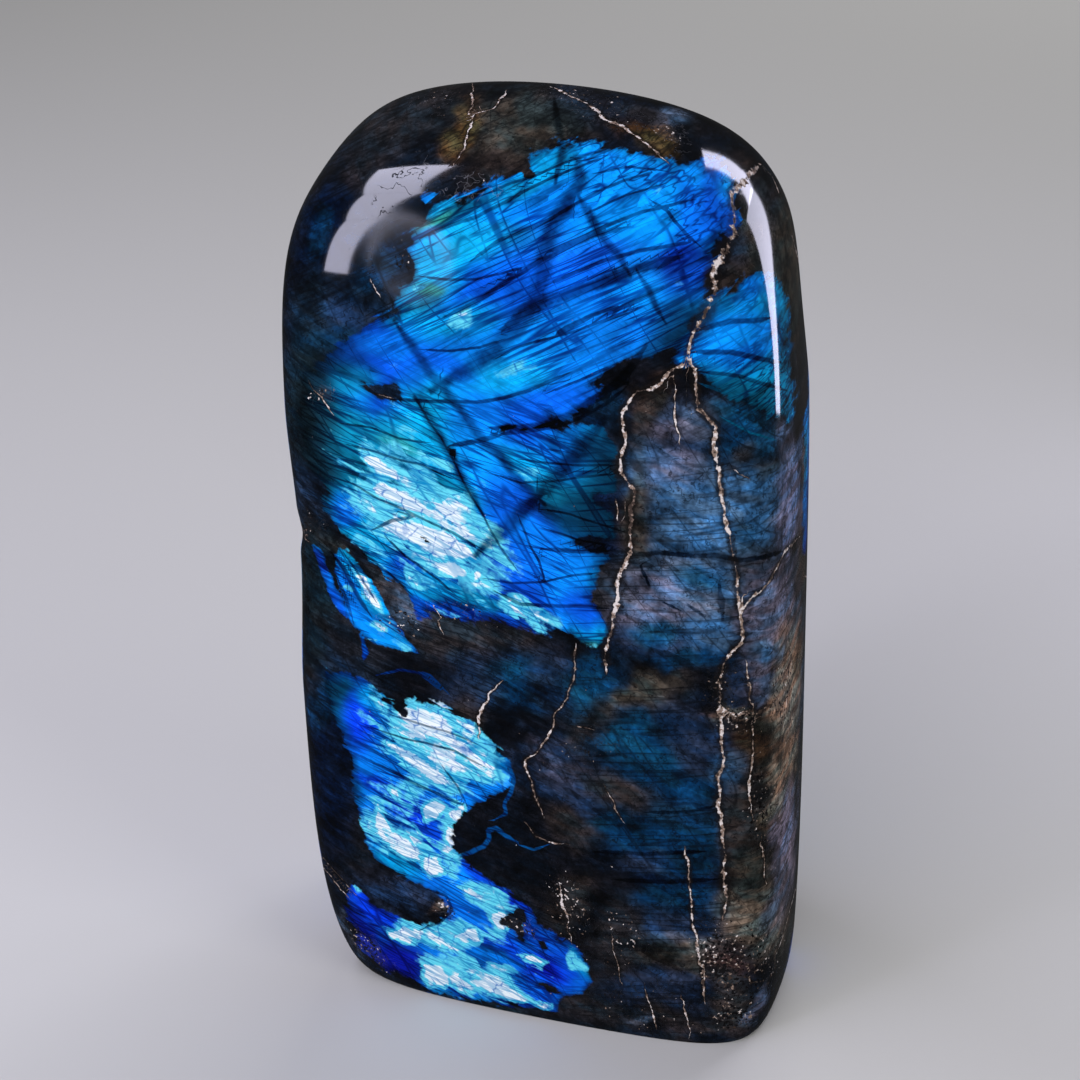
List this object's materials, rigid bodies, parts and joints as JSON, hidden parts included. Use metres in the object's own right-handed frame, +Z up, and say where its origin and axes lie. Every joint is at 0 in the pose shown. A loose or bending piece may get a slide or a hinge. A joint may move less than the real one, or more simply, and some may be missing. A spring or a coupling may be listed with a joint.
{
  "type": "labradorite freeform",
  "caption": "Upright polished labradorite freeform with a flat sawn base, soft shoulders, blue and cyan colour play and tan fracture veins, for display on a shelf or table.",
  "frame": {"origin": "middle of the box's lower face, on the flat sawn base", "axes": "+Z up the height of the stone, the brightest face towards -Y, +X to the right as seen from the front"},
  "size_m": [0.085, 0.057, 0.156],
  "materials": {
    "labradorite": "polished, dark blue-grey feldspar with blue and cyan labradorescence"
  },
  "bodies": {
    "root": {"labradorite_stone": "labradorite"}
  },
  "joints": []
}
